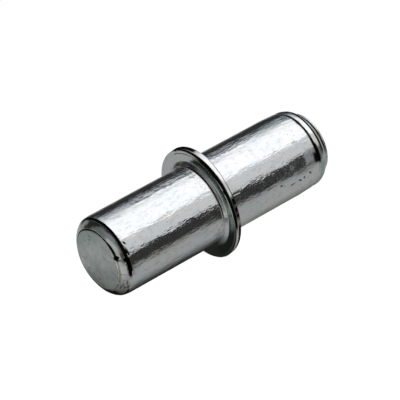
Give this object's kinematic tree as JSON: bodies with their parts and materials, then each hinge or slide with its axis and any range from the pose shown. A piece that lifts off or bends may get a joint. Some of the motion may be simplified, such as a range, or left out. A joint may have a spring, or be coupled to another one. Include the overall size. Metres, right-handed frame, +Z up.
{
  "type": "shelf support pin",
  "caption": "Round steel shelf support pin with a thin collar at its middle: the plug end sits in a drilled cabinet side and the other end carries the shelf.",
  "frame": {"origin": "on the pin's axis, in the plane of the collar's seat, the face that meets the cabinet side", "axes": "+X along the pin, from the cabinet side towards the shelf; +Z up, as the pin is fitted"},
  "size_m": [0.016, 0.0068, 0.0068],
  "materials": {
    "zinc_plate": "bright zinc plate, tumbled, with fine dents and scuffs"
  },
  "bodies": {
    "root": {"support_pin": "zinc_plate"}
  },
  "joints": []
}
